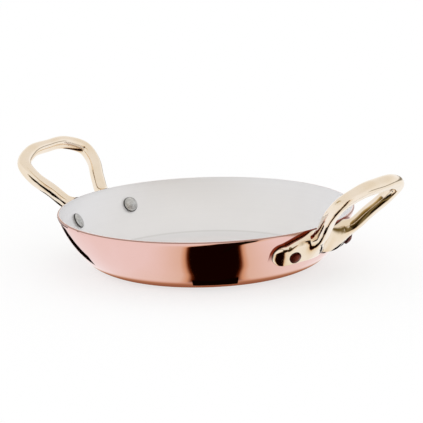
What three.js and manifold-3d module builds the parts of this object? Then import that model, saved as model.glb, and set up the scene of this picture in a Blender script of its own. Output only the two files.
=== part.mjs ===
// Round copper serving pan with a steel lining and two cast loop handles, each held by two rivets.
// Millimetres, +Z up. The origin is the centre of the underside, and the handles lie along X.

import * as THREE from 'three';
import { mergeVertices } from 'three/addons/utils/BufferGeometryUtils.js';
import Module from 'manifold-3d';

const wasm = await Module();
wasm.setup();

// Pan body: flat base, a turned bend and a flared wall, all spun from one sheet.
const RIM_DIAMETER = 200;
const PAN_HEIGHT = 38;
const BASE_DIAMETER = 124;
const BEND_RADIUS = 29;
const RIM_SLOPE_DEG = 73;
const COPPER_THICKNESS = 1.3;
const LINING_THICKNESS = 0.2;
const BOND_GAP = 0.05;

// Rivets: a copper shank with a domed outer head, and a steel cap on the inner end.
const RIVET_BELOW_RIM = 14;
const RIVET_SPACING = 58.6;
const SHANK_DIAMETER = 5;
const OUTER_HEAD_DIAMETER = 8.2;
const OUTER_HEAD_HEIGHT = 2.4;
const CAP_DIAMETER = 10.8;
const CAP_HEIGHT = 3;
const CAP_SOCKET_DEPTH = 0.9;
const CAP_EDGE_RADIUS = 0.9;

// Handle foot: one curved plate with a round lobe at each end, seated on the wall.
// Heights are measured along the wall from the rivet level, lengths round the wall from the middle.
const FOOT_THICKNESS = 5;
const FOOT_MIDDLE_THICKNESS = 2;
const FOOT_MIDDLE_REACH = 5;
const LOBE_RADIUS = 8.6;
const LOBE_BEYOND_RIVET = 6;
const FOOT_TOP_RISE = 13.4;
const FOOT_BOTTOM_DROP = 6.2;
const NOTCH_WIDTH = 7;
const NOTCH_DEPTH = 4.2;

// Handle loop: a round bar with a flat along its underside, bent into a tilted bow. The grip is fuller,
// and its inner side is drawn out towards the crown by a share of the bar's width.
// Half widths are measured from the handle's middle, lengths up the slope from the neck.
const LOOP_TILT_DEG = 46;
const NECK_BEYOND_RIM = 4.3;
const NECK_BELOW_RIM = 4.7;
const NECK_HALF_WIDTH = 18.7;
const SHOULDER_HALF_WIDTH = 24.9;
const SHOULDER_LENGTH = 12.8;
const BOW_HALF_WIDTH = 32.4;
const BOW_START_LENGTH = 26.6;
const BOW_END_LENGTH = 38.2;
const GRIP_HALF_WIDTH = 18.2;
const GRIP_LENGTH = 45.8;
const GRIP_CROWN = 0.5;
const BAR_DIAMETER = 9.7;
const BAR_FLAT_DEPTH = 1;
const GRIP_SWELL = 0.14;
const GRIP_SWELL_SHARE = 0.35;
const GRIP_HOLLOW = 0.26;
const ROOT_HALF_WIDTH = 12;
const ROOT_FLARE = 0.25;
const ROOT_FLARE_SHARE = 0.2;

// Clearances between pieces that seat on each other.
const SEAT_GAP = 0.3;
const HOLE_CLEARANCE = 0.3;

// Facet counts.
const PAN_SEGMENTS = 64;
const BEND_STEPS = 5;
const WALL_STEPS = 4;
const RIVET_SEGMENTS = 20;
const LOOP_STEPS = 52;
const SECTION_ARC_STEPS = 11;
const FOOT_STEPS = 7;
const LOBE_STEPS = 6;
const FOOT_ARC_STEPS = 8;

const COPPER = { color: 0xdf9f86, roughness: 0.12, metalness: 1 };
const STEEL = { color: 0xdcdcdd, roughness: 0.5, metalness: 1 };
const BRASS = { color: 0xe2cb94, roughness: 0.15, metalness: 1 };
const RIVET_COPPER = { color: 0xa8654f, roughness: 0.3, metalness: 1 };
const CAP_STEEL = { color: 0xb4b4b2, roughness: 0.25, metalness: 1 };

const degrees = THREE.MathUtils.degToRad;
const lerp = THREE.MathUtils.lerp;
const smoothstep = THREE.MathUtils.smoothstep;

// Closed solids and boolean work.

function toSolid(geometry) {
  const bare = new THREE.BufferGeometry();
  bare.setAttribute('position', geometry.getAttribute('position').clone());
  bare.setIndex(geometry.getIndex());
  const merged = mergeVertices(bare, 1e-4);
  const points = merged.getAttribute('position').array;
  const corners = Array.from(merged.getIndex().array);
  const triangles = [];
  for (let i = 0; i < corners.length; i += 3) {
    const [a, b, c] = corners.slice(i, i + 3);
    if (a !== b && b !== c && c !== a) triangles.push(a, b, c);
  }
  if (signedVolume(points, triangles) < 0) triangles.reverse();
  const mesh = new wasm.Mesh({
    numProp: 3,
    vertProperties: new Float32Array(points),
    triVerts: new Uint32Array(triangles),
  });
  return new wasm.Manifold(mesh);
}

function signedVolume(points, triangles) {
  const corner = (i) => new THREE.Vector3().fromArray(points, 3 * triangles[i]);
  let sum = 0;
  for (let i = 0; i < triangles.length; i += 3) {
    sum += corner(i).dot(corner(i + 1).cross(corner(i + 2)));
  }
  return sum / 6;
}

function toGeometry(solid) {
  const mesh = solid.getMesh();
  const geometry = new THREE.BufferGeometry();
  geometry.setAttribute('position', new THREE.BufferAttribute(mesh.vertProperties, 3));
  geometry.setIndex(new THREE.BufferAttribute(mesh.triVerts, 1));
  geometry.computeVertexNormals();
  return geometry;
}

function cutAll(solid, cutters) {
  return cutters.reduce((left, cutter) => left.subtract(cutter), solid);
}

// A closed skin through rings of equal point count. A ring of one point is a pole, others are capped.
function loft(rings) {
  const positions = [];
  const index = [];
  const starts = rings.map((ring) => {
    const start = positions.length / 3;
    ring.forEach((p) => positions.push(p.x, p.y, p.z));
    return start;
  });
  for (let i = 0; i + 1 < rings.length; i += 1) {
    const count = Math.max(rings[i].length, rings[i + 1].length);
    const at = (ring, k) => starts[ring] + (k % rings[ring].length);
    for (let k = 0; k < count; k += 1) {
      index.push(at(i, k), at(i, k + 1), at(i + 1, k + 1));
      index.push(at(i, k), at(i + 1, k + 1), at(i + 1, k));
    }
  }
  const last = rings.length - 1;
  for (let k = 1; k + 1 < rings[0].length; k += 1) {
    index.push(starts[0], starts[0] + k + 1, starts[0] + k);
  }
  for (let k = 1; k + 1 < rings[last].length; k += 1) {
    index.push(starts[last], starts[last] + k, starts[last] + k + 1);
  }
  const geometry = new THREE.BufferGeometry();
  geometry.setAttribute('position', new THREE.Float32BufferAttribute(positions, 3));
  geometry.setIndex(index);
  return geometry;
}

// Wall profile: the bend arc runs into a larger wall arc that ends on the rim at the rim slope.

const rimRadius = RIM_DIAMETER / 2;
const baseRadius = BASE_DIAMETER / 2;
const rimSlope = degrees(RIM_SLOPE_DEG);

// The bend is a fillet: on a steeper wall it is limited so that some wall is left above it.
const LARGEST_BEND_SHARE = 0.92;
const flare = rimRadius - baseRadius;
const largestBend = (flare * Math.tan(rimSlope) - PAN_HEIGHT) / (1 / Math.cos(rimSlope) - 1);
const bendRadius = Math.min(BEND_RADIUS, LARGEST_BEND_SHARE * largestBend);

const wallRun = flare - bendRadius * Math.sin(rimSlope);
const wallRise = PAN_HEIGHT - bendRadius * (1 - Math.cos(rimSlope));
const joinSlope = 2 * Math.atan2(wallRise, wallRun) - rimSlope;
const extraRadius = wallRise / (Math.cos(joinSlope) - Math.cos(rimSlope));
const wallRadius = bendRadius + extraRadius;
const bendLength = bendRadius * joinSlope;

// Point of the profile (radius, height) where the outer surface has this slope, moved out by an offset.
function profileAt(slope, offset = 0) {
  const onWall = slope > joinSlope;
  const radius = (onWall ? wallRadius : bendRadius) + offset;
  const centreR = baseRadius - (onWall ? extraRadius * Math.sin(joinSlope) : 0);
  const centreZ = bendRadius + (onWall ? extraRadius * Math.cos(joinSlope) : 0);
  return new THREE.Vector2(centreR + radius * Math.sin(slope), centreZ - radius * Math.cos(slope));
}

function slopeAtLength(length) {
  if (length <= bendLength) return length / bendRadius;
  return joinSlope + (length - bendLength) / wallRadius;
}

function slopeAtHeight(height) {
  const onWall = height > bendRadius * (1 - Math.cos(joinSlope));
  if (!onWall) return Math.acos(1 - height / bendRadius);
  const centreZ = bendRadius + extraRadius * Math.cos(joinSlope);
  return Math.acos((centreZ - height) / wallRadius);
}

// The profile from the base edge to the rim, moved out by an offset and cut level at the rim height.
function wallCurve(offset) {
  const points = [];
  for (let i = 0; i <= BEND_STEPS; i += 1) {
    points.push(profileAt((joinSlope * i) / BEND_STEPS, offset));
  }
  const centreZ = bendRadius + extraRadius * Math.cos(joinSlope);
  const topSlope = Math.acos((centreZ - PAN_HEIGHT) / (wallRadius + offset));
  for (let i = 1; i <= WALL_STEPS; i += 1) {
    points.push(profileAt(lerp(joinSlope, topSlope, i / WALL_STEPS), offset));
  }
  return points;
}

// A turned layer of the pan between two offsets from the outer surface.
function layer(outerOffset, innerOffset) {
  const outer = wallCurve(outerOffset);
  const inner = wallCurve(innerOffset).reverse();
  const axisPoints = [new THREE.Vector2(0, -outerOffset), new THREE.Vector2(0, -innerOffset)];
  const profile = [axisPoints[0], ...outer, ...inner, axisPoints[1]];
  return toSolid(new THREE.LatheGeometry(profile, PAN_SEGMENTS).rotateX(Math.PI / 2));
}

// The space that the pan fills, grown by the seat gap: what a handle foot must stay out of.
function seatBody() {
  const outer = wallCurve(SEAT_GAP);
  const bottom = new THREE.Vector2(0, -SEAT_GAP);
  const top = new THREE.Vector2(0, PAN_HEIGHT);
  return toSolid(new THREE.LatheGeometry([bottom, ...outer, top], PAN_SEGMENTS).rotateX(Math.PI / 2));
}

// Rivet places. The axis stands square to the wall, and lengths along it start on the outer surface.

const rivetSlope = slopeAtHeight(PAN_HEIGHT - RIVET_BELOW_RIM);
const rivetRing = profileAt(rivetSlope).x;
const rivetAngle = Math.asin(RIVET_SPACING / 2 / rivetRing);
const rivetArc = rivetRing * rivetAngle;
const rivetLength = rivetSlope <= joinSlope
  ? bendRadius * rivetSlope
  : bendLength + wallRadius * (rivetSlope - joinSlope);
const innerFace = -(COPPER_THICKNESS + BOND_GAP + LINING_THICKNESS);
const capSeat = innerFace - SEAT_GAP;
const holeRadius = SHANK_DIAMETER / 2 + HOLE_CLEARANCE;

// Point on the wall: distance round the wall at the rivet ring, distance up the wall, distance out.
function onWall(around, up, out) {
  const angle = around / rivetRing;
  const point = profileAt(slopeAtLength(rivetLength + up), out);
  return new THREE.Vector3(point.x * Math.cos(angle), point.x * Math.sin(angle), point.y);
}

function rivetFrame(side) {
  const foot = onWall(side * rivetArc, 0, 0);
  const axis = onWall(side * rivetArc, 0, 1).sub(foot);
  const turn = new THREE.Quaternion().setFromUnitVectors(new THREE.Vector3(0, 1, 0), axis.normalize());
  return { foot, turn, matrix: new THREE.Matrix4().compose(foot, turn, new THREE.Vector3(1, 1, 1)) };
}

// A round cutter on a rivet axis, from one length along it to another.
function rivetCutter(side, radius, from, to) {
  const cutter = new THREE.CylinderGeometry(radius, radius, to - from, RIVET_SEGMENTS);
  cutter.translate(0, (from + to) / 2, 0);
  return toSolid(cutter.applyMatrix4(rivetFrame(side).matrix));
}

// Pan layers, each with its four rivet holes.

const farAlong = FOOT_THICKNESS + OUTER_HEAD_HEIGHT + LOBE_RADIUS;

function panHoles() {
  const turned = new THREE.Matrix4().makeRotationZ(Math.PI);
  const pair = [-1, 1].map((side) => rivetCutter(side, holeRadius, -farAlong, farAlong));
  const opposite = pair.map((cutter) => cutter.transform(turned.elements));
  return [...pair, ...opposite];
}

function panShell() {
  return toGeometry(cutAll(layer(0, -COPPER_THICKNESS), panHoles()));
}

function steelLining() {
  const outside = -(COPPER_THICKNESS + BOND_GAP);
  return toGeometry(cutAll(layer(outside, outside - LINING_THICKNESS), panHoles()));
}

// Handle foot: sections across the plate, lofted round the wall from one lobe's tip to the other.

const lobeCentre = rivetArc + LOBE_BEYOND_RIVET;
const backDepth = 2 * SEAT_GAP;
const SHOULDER_POWER = 3.5;
const FACE_RIDGE = -0.35;
const FACE_FALL = 0.75;
const LOWER_EDGE_POWER = 3.5;
const LOWER_EDGE_FALL = 0.5;

// Thickness of the foot along its ridge: thin in the middle, full at the rivets and falling to the tips.
function ridgeAt(around) {
  const fill = 1 - Math.exp(-((around / FOOT_MIDDLE_REACH) ** 2));
  const past = Math.max(Math.abs(around) - rivetArc, 0) / (LOBE_BEYOND_RIVET + LOBE_RADIUS);
  return lerp(FOOT_MIDDLE_THICKNESS, FOOT_THICKNESS, fill) * (1 - past ** 2) ** FACE_FALL;
}

// The face's share of that thickness, by level from -1 at the lower edge to 1 at the top edge.
function faceShare(level) {
  if (level > FACE_RIDGE) return (1 - ((level - FACE_RIDGE) / (1 - FACE_RIDGE)) ** 2) ** FACE_FALL;
  return (1 - ((FACE_RIDGE - level) / (1 + FACE_RIDGE)) ** LOWER_EDGE_POWER) ** LOWER_EDGE_FALL;
}

function footSection(around, up, halfHeight) {
  const ridge = ridgeAt(around);
  const ring = [];
  for (let i = 0; i <= FOOT_ARC_STEPS; i += 1) {
    const level = -Math.cos((Math.PI * i) / FOOT_ARC_STEPS);
    const out = i % FOOT_ARC_STEPS === 0 ? 0 : ridge * faceShare(level);
    ring.push(onWall(around, up + halfHeight * level, out));
  }
  for (const share of [1, 0, -1]) {
    ring.push(onWall(around, up + share * halfHeight, -backDepth));
  }
  return ring;
}

function footBetweenLobes(around) {
  const share = Math.abs(around) / lobeCentre;
  const top = lerp(FOOT_TOP_RISE, LOBE_RADIUS, share ** SHOULDER_POWER);
  const bottom = -lerp(FOOT_BOTTOM_DROP, LOBE_RADIUS, share);
  return footSection(around, (top + bottom) / 2, (top - bottom) / 2);
}

function footLobe(side, step) {
  const sweep = ((Math.PI / 2) * step) / LOBE_STEPS;
  const around = side * (lobeCentre + LOBE_RADIUS * Math.sin(sweep));
  if (step === LOBE_STEPS) return [onWall(around, 0, -backDepth / 2)];
  return footSection(around, 0, LOBE_RADIUS * Math.cos(sweep));
}

function footPlate() {
  const rings = [];
  for (let step = LOBE_STEPS; step > 0; step -= 1) rings.push(footLobe(-1, step));
  for (let step = -FOOT_STEPS; step <= FOOT_STEPS; step += 1) {
    rings.push(footBetweenLobes((lobeCentre * step) / FOOT_STEPS));
  }
  for (let step = 1; step <= LOBE_STEPS; step += 1) rings.push(footLobe(1, step));
  return toSolid(loft(rings));
}

// The notch that parts the two lobes under the middle of the foot.
function footNotch() {
  const tip = new THREE.Shape();
  tip.moveTo(-NOTCH_WIDTH / 2, -LOBE_RADIUS);
  tip.lineTo(NOTCH_WIDTH / 2, -LOBE_RADIUS);
  tip.lineTo(NOTCH_WIDTH / 2, 0);
  tip.lineTo(0, NOTCH_DEPTH);
  tip.lineTo(-NOTCH_WIDTH / 2, 0);
  const depth = 2 * FOOT_THICKNESS + 2 * backDepth;
  const cutter = new THREE.ExtrudeGeometry(tip, { depth, bevelEnabled: false });
  cutter.translate(0, 0, -depth / 2);
  const foot = onWall(0, -FOOT_BOTTOM_DROP, 0);
  const out = onWall(0, -FOOT_BOTTOM_DROP, 1).sub(foot).normalize();
  const across = new THREE.Vector3(0, 1, 0);
  const up = out.clone().cross(across);
  const basis = new THREE.Matrix4().makeBasis(across, up, out).setPosition(foot);
  return toSolid(cutter.applyMatrix4(basis));
}

// Handle loop: the bar's section swept along a bow in a tilted plane, with both roots in the foot.

const loopTilt = degrees(LOOP_TILT_DEG);
const loopNormal = new THREE.Vector3(-Math.sin(loopTilt), 0, Math.cos(loopTilt));

function onLoop(halfWidth, length) {
  const x = rimRadius + NECK_BEYOND_RIM + length * Math.cos(loopTilt);
  const z = PAN_HEIGHT - NECK_BELOW_RIM + length * Math.sin(loopTilt);
  return new THREE.Vector3(x, halfWidth, z);
}

function loopCurve() {
  const half = [
    onLoop(GRIP_HALF_WIDTH, GRIP_LENGTH),
    onLoop(BOW_HALF_WIDTH, BOW_END_LENGTH),
    onLoop(BOW_HALF_WIDTH, BOW_START_LENGTH),
    onLoop(SHOULDER_HALF_WIDTH, SHOULDER_LENGTH),
    onLoop(NECK_HALF_WIDTH, 0),
    onWall(ROOT_HALF_WIDTH, 0, -BAR_DIAMETER / 2),
  ];
  const mirrored = half.map((p) => new THREE.Vector3(p.x, -p.y, p.z)).reverse();
  return new THREE.CatmullRomCurve3([...mirrored, onLoop(0, GRIP_LENGTH + GRIP_CROWN), ...half]);
}

// Outline of the bar: a circle with a flat underside, as (side, up) pairs.
function barOutline() {
  const radius = BAR_DIAMETER / 2;
  const flatEdge = -Math.asin(1 - BAR_FLAT_DEPTH / radius);
  const outline = [];
  for (let i = 0; i <= SECTION_ARC_STEPS; i += 1) {
    const sweep = lerp(flatEdge, Math.PI - flatEdge, i / SECTION_ARC_STEPS);
    outline.push(new THREE.Vector2(radius * Math.cos(sweep), radius * Math.sin(sweep)));
  }
  return outline;
}

function handleBar() {
  const curve = loopCurve();
  const outline = barOutline();
  const rings = [];
  for (let i = 0; i <= LOOP_STEPS; i += 1) {
    const centre = curve.getPointAt(i / LOOP_STEPS);
    const along = curve.getTangentAt(i / LOOP_STEPS);
    const side = along.clone().cross(loopNormal).normalize();
    const up = side.clone().cross(along);
    const fromGrip = Math.abs((2 * i) / LOOP_STEPS - 1);
    const grip = 1 - smoothstep(fromGrip, 0, GRIP_SWELL_SHARE);
    const rootFlare = ROOT_FLARE * smoothstep(fromGrip, 1 - ROOT_FLARE_SHARE, 1);
    const size = 1 + GRIP_SWELL * grip + rootFlare;
    rings.push(outline.map((p) => centre.clone()
      .addScaledVector(side, lerp(p.x, BAR_DIAMETER / 2, GRIP_HOLLOW * grip) * size)
      .addScaledVector(up, p.y * size)));
  }
  return toSolid(loft(rings));
}

// One handle casting, drilled for its two rivets and spot-faced under their heads.
const headSeat = FOOT_THICKNESS - SEAT_GAP;

function handleCasting() {
  const casting = footPlate().add(handleBar());
  const drilled = [-1, 1].flatMap((side) => [
    rivetCutter(side, holeRadius, -farAlong, farAlong),
    rivetCutter(side, OUTER_HEAD_DIAMETER / 2 + HOLE_CLEARANCE, headSeat, farAlong),
  ]);
  return toGeometry(cutAll(casting, [seatBody(), footNotch(), ...drilled]));
}

// Rivet pieces, turned about their own axis with the wall's outer surface at length 0.

function copperRivet() {
  const shank = SHANK_DIAMETER / 2;
  const head = OUTER_HEAD_DIAMETER / 2;
  const start = capSeat - CAP_SOCKET_DEPTH + SEAT_GAP;
  const under = headSeat + SEAT_GAP;
  const crown = under + OUTER_HEAD_HEIGHT;
  const profile = [
    new THREE.Vector2(0, start),
    new THREE.Vector2(shank, start),
    new THREE.Vector2(shank, under),
    new THREE.Vector2(head, under),
    new THREE.Vector2(head, lerp(under, crown, 0.3)),
    new THREE.Vector2(head * 0.86, lerp(under, crown, 0.68)),
    new THREE.Vector2(head * 0.55, lerp(under, crown, 0.92)),
    new THREE.Vector2(0, crown),
  ];
  return toGeometry(toSolid(new THREE.LatheGeometry(profile, RIVET_SEGMENTS)));
}

// The cap's underside follows the curved lining that it seats on.
function steelCap(side) {
  const socket = SHANK_DIAMETER / 2 + HOLE_CLEARANCE;
  const edge = CAP_DIAMETER / 2;
  const crown = capSeat - CAP_HEIGHT;
  const profile = [
    new THREE.Vector2(0, capSeat - CAP_SOCKET_DEPTH),
    new THREE.Vector2(socket, capSeat - CAP_SOCKET_DEPTH),
    new THREE.Vector2(socket, 0),
    new THREE.Vector2(edge, 0),
    new THREE.Vector2(edge, crown + 1.5 * CAP_EDGE_RADIUS),
    new THREE.Vector2(edge - 0.3 * CAP_EDGE_RADIUS, crown + 0.8 * CAP_EDGE_RADIUS),
    new THREE.Vector2(edge - CAP_EDGE_RADIUS, crown + 0.4 * CAP_EDGE_RADIUS),
    new THREE.Vector2(edge / 2, crown),
    new THREE.Vector2(0, crown),
  ];
  const blank = toSolid(new THREE.LatheGeometry(profile, RIVET_SEGMENTS));
  const wall = layer(FOOT_THICKNESS, capSeat).transform(rivetFrame(side).matrix.invert().elements);
  return toGeometry(blank.subtract(wall));
}

// Assembly.

function piece(name, geometry, look) {
  const mesh = new THREE.Mesh(geometry, new THREE.MeshStandardMaterial(look));
  mesh.name = name;
  return mesh;
}

// The front of the pan is at -Y, which is the other side of the left handle once it is turned round.
function handleSide(name, turn, front) {
  const group = new THREE.Group();
  group.rotation.z = turn;
  group.add(piece(`handle_${name}`, handleCasting(), BRASS));
  for (const [place, side] of [['front', front], ['back', -front]]) {
    const frame = rivetFrame(side);
    const pieces = [
      piece(`rivet_${name}_${place}`, copperRivet(), RIVET_COPPER),
      piece(`rivet_cap_${name}_${place}`, steelCap(side), CAP_STEEL),
    ];
    for (const part of pieces) {
      part.position.copy(frame.foot);
      part.quaternion.copy(frame.turn);
      group.add(part);
    }
  }
  return group;
}

const pan = new THREE.Group();
pan.add(piece('pan_shell', panShell(), COPPER));
pan.add(piece('steel_lining', steelLining(), STEEL));
pan.add(handleSide('right', 0, -1));
pan.add(handleSide('left', Math.PI, 1));

export default pan;
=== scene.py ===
"""Looks and studio for a round copper serving pan with a steel lining and two cast brass handles."""

import math

import bmesh
import bpy
from mathutils import Matrix, Vector
from mathutils.bvhtree import BVHTree


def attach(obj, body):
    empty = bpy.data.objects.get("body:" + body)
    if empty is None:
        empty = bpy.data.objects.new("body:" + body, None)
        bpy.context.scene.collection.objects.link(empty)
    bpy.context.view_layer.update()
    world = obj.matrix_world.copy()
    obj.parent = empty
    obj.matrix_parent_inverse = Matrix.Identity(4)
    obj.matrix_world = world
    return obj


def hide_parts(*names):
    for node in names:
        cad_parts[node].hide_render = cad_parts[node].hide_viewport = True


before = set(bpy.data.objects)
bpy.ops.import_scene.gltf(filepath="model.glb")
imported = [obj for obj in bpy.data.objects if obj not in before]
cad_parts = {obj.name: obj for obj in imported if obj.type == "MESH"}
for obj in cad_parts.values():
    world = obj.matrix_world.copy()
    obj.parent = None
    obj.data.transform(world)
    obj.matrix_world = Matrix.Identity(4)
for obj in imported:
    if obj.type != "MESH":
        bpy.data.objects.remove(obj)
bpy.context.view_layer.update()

MM = 0.001

# Pan body, in mm: flat base, a turned bend and a flared wall.
RIM_RADIUS = 100.0
PAN_HEIGHT = 38.0
BASE_RADIUS = 62.0
BEND_RADIUS = 29.0
RIM_SLOPE = math.radians(73)
COPPER_THICKNESS = 1.3
BOND_GAP = 0.05
LINING_THICKNESS = 0.2
RIM_OUTER_ROUNDING = 1.1
RIM_INNER_ROUNDING = 0.08
THIN_SHEET = 1.0
THIN_ROUNDING_SHARE = 0.4
FLAT_RINGS = [15.0, 35.0, 52.0, 60.5]

# Rivets, in mm: lengths run along the rivet from the wall's outer face.
RIVET_BELOW_RIM = 14.0
RIVET_SPACING = 58.6
SHANK_RADIUS = 2.5
HOLE_RADIUS = 2.6
HEAD_RADIUS = 4.1
HEAD_SEAT = 4.7
HEAD_HEIGHT = 2.4
CAP_RADIUS = 5.4
CAP_HEIGHT = 3.2
CAP_SOCKET_DEPTH = 0.9
CAP_SKIRT_START = 0.5
CAP_EDGE = 0.9
HEAD_EDGE = 1.1
HEAD_PLAY = 0.1
SHANK_BEVEL = 0.2
CROWN_SHARE = 0.35
CROWN_RINGS = (0.8, 0.6, 0.4, 0.2)
INNERMOST_RING = 1.0
SEAT_GAP = 0.05
CUTTER_MARGIN = 1.0
SHEET_DRILL_REACH = 8.0
FOOT_DRILL_REACH = 12.0
HEAD_DRILL_REACH = 14.0

# Handle foot, in mm, measured round the wall from the handle's middle and up from the rivets.
FOOT_THICKNESS = 5.0
FOOT_MIDDLE_THICKNESS = 2.0
FOOT_MIDDLE_REACH = 5.0
LOBE_RADIUS = 8.6
LOBE_BEYOND_RIVET = 6.0
FOOT_TOP_RISE = 13.4
FOOT_BOTTOM_DROP = 6.2
FOOT_SUNK = 2.0
FOOT_RIDGE = 0.1
FACE_EDGE_POWER = 4.8
FACE_EDGE_FULLNESS = 0.38
LOBE_TOP = 7.2
LOBE_ROUNDING = 18.5
LOBE_POWER = 2.7
LOBE_FULLNESS = 0.83
SHOULDER_POWER = 3.5
NOTCH_WIDTH = 7.0
NOTCH_DEPTH = 4.2
NOTCH_SLIMNESS = 0.58

# Handle loop, in mm: points of the bow as half width and length up the slope from the neck.
LOOP_TILT = math.radians(46)
NECK_BEYOND_RIM = 4.3
NECK_BELOW_RIM = 4.7
LOOP_CROWN = (0.0, 46.1)
LOOP_HALF = [(18.2, 45.8), (32.4, 38.2), (32.4, 26.6), (24.9, 12.8), (18.7, 0.0)]
ROOT_HALF_WIDTH = 12.0
BAR_RADIUS = 4.83
BAR_FLAT_DEPTH = 1.0
GRIP_SWELL = 0.14
GRIP_SWELL_SHARE = 0.35
GRIP_HOLLOW = 0.26
ROOT_FLARE = 0.25
ROOT_FLARE_SHARE = 0.2

# Fineness of the meshes in steps, and the distance in metres at which points are merged.
PAN_STEPS = 256
RIM_STEPS = 6
RIVET_STEPS = 48
BAR_STEPS = 64
BOW_STEPS = 150
SPAN_STEPS = 60
FOOT_STEPS = 192
MERGE_DISTANCE = 1e-6

# Casting: lengths in mm from where bar and foot meet, and how often each zone is smoothed.
CAST_VOXEL = 0.45
FILLET_REACH = 9.0
FILLET_FILL = FILLET_REACH / 4
CREASE_FULL = 0.5
CREASE_END = 0.5 * FILLET_REACH
PLAIN_START = 1.0
BAR_FLAT_PASSES = 5
CREASE_PASSES = 25
FILLET_PASSES = 90
EVEN_PASSES = 4
LAST_PASSES = 3
SEAT_CUTTER_INSIDE = 60.0

# Painted shade where the foot meets the wall, and a painted band of shade and reflection on the copper above
# the foot: mm from the wall and above the handle foot, turns in radians.
SEAM_SHADE_FULL = 0.3
SEAM_SHADE_END = 1.0
HALO_AT_TIP = 2.2
HALO_AT_ROOT = 2.8
HALO_STEPS = 12
HALO_SOFTNESS = 0.3
HALO_CEILING = 50.0
HALO_DROP = 10.0
HALO_DROP_TURN = 0.01
HALO_LAST_TURN = 1.6
HALO_FADE = (-5.0, 2.0)

# Tones, in mm: dull band at the rim's top edge by height, and the floor's tone steps, painted light and
# shade, by radius.
RIM_DULL_BAND = [(37.2, 37.5), (37.98, 37.85)]
FLOOR_LINE_RADIUS = 74.4
FLOOR_TONE_STEP = 0.6
FLOOR_PALER_START = 2.0
FLOOR_LINE_REACH = (1.1, 0.3)


def lerp(a, b, share):
    return a + (b - a) * share


def smoothstep(value, low, high):
    share = min(max((value - low) / (high - low), 0.0), 1.0)
    return share * share * (3 - 2 * share)


# Wall profile: the bend arc runs into a larger wall arc that ends on the rim at the rim slope.

wall_run = RIM_RADIUS - BASE_RADIUS - BEND_RADIUS * math.sin(RIM_SLOPE)
wall_rise = PAN_HEIGHT - BEND_RADIUS * (1 - math.cos(RIM_SLOPE))
join_slope = 2 * math.atan2(wall_rise, wall_run) - RIM_SLOPE
extra_radius = wall_rise / (math.cos(join_slope) - math.cos(RIM_SLOPE))
wall_radius = BEND_RADIUS + extra_radius
bend_length = BEND_RADIUS * join_slope
wall_centre_z = BEND_RADIUS + extra_radius * math.cos(join_slope)


def profile_at(slope, offset=0.0):
    """Radius and height, in mm, where the outer face has this slope, moved out by an offset."""
    if slope <= join_slope:
        radius = BEND_RADIUS + offset
        return BASE_RADIUS + radius * math.sin(slope), BEND_RADIUS - radius * math.cos(slope)
    radius = wall_radius + offset
    centre = BASE_RADIUS - extra_radius * math.sin(join_slope)
    return centre + radius * math.sin(slope), wall_centre_z - radius * math.cos(slope)


def slope_at_height(height):
    if height <= BEND_RADIUS * (1 - math.cos(join_slope)):
        return math.acos(1 - height / BEND_RADIUS)
    return math.acos((wall_centre_z - height) / wall_radius)


def slope_at_length(length):
    if length <= bend_length:
        return length / BEND_RADIUS
    return join_slope + (length - bend_length) / wall_radius


rivet_slope = slope_at_height(PAN_HEIGHT - RIVET_BELOW_RIM)
rivet_ring, rivet_height = profile_at(rivet_slope)
rivet_angle = math.asin(RIVET_SPACING / 2 / rivet_ring)
rivet_length = bend_length + wall_radius * (rivet_slope - join_slope)
inner_face = -(COPPER_THICKNESS + BOND_GAP + LINING_THICKNESS)


def on_wall(around, up, out):
    """Point in metres, from mm round the wall, up the wall from the rivets and out of it."""
    angle = around / rivet_ring
    radius, height = profile_at(slope_at_length(rivet_length + up), out)
    return Vector((radius * math.cos(angle), radius * math.sin(angle), height)) * MM


def wall_curve(offset, top=PAN_HEIGHT, bend_steps=14, wall_steps=14):
    """Profile points from the base edge up to a level, moved out by an offset."""
    top_slope = math.acos((wall_centre_z - top) / (wall_radius + offset))
    bend = [profile_at(join_slope * i / bend_steps, offset) for i in range(bend_steps + 1)]
    wall = [profile_at(lerp(join_slope, top_slope, i / wall_steps), offset)
            for i in range(1, wall_steps + 1)]
    return bend + wall


# Modelling by hand: selection, modifiers, turning and cutting.

def choose(*pieces):
    """Leaves only these objects selected, the last of them active."""
    if bpy.context.mode != "OBJECT":
        bpy.ops.object.mode_set(mode="OBJECT")
    bpy.ops.object.select_all(action="DESELECT")
    for piece in pieces:
        piece.select_set(True)
        bpy.context.view_layer.objects.active = piece


def named(name):
    """The object that an operator has just made, under its own name."""
    piece = bpy.context.object
    piece.name = name
    piece.data.name = name
    return piece


def apply_modifier(piece, kind, **settings):
    choose(piece)
    modifier = piece.modifiers.new(kind, kind)
    for key, value in settings.items():
        setattr(modifier, key, value)
    bpy.ops.object.modifier_apply(modifier=modifier.name)


def copy_of(piece, name):
    """A copy with its own mesh."""
    choose(piece)
    bpy.ops.object.duplicate(linked=False)
    return named(name)


def place(piece, matrix):
    """Moves a piece and puts its new place into its mesh."""
    choose(piece)
    piece.matrix_world = matrix
    bpy.ops.object.transform_apply(location=True, rotation=True, scale=True)


def remove(*pieces):
    choose(*pieces)
    bpy.ops.object.delete()


def cut(piece, *cutters):
    for cutter in cutters:
        apply_modifier(piece, "BOOLEAN", operation="DIFFERENCE", solver="EXACT", object=cutter)
    remove(*cutters)


def smooth_faces(piece, degrees=30):
    choose(piece)
    bpy.ops.object.shade_smooth_by_angle(angle=math.radians(degrees))


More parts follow.
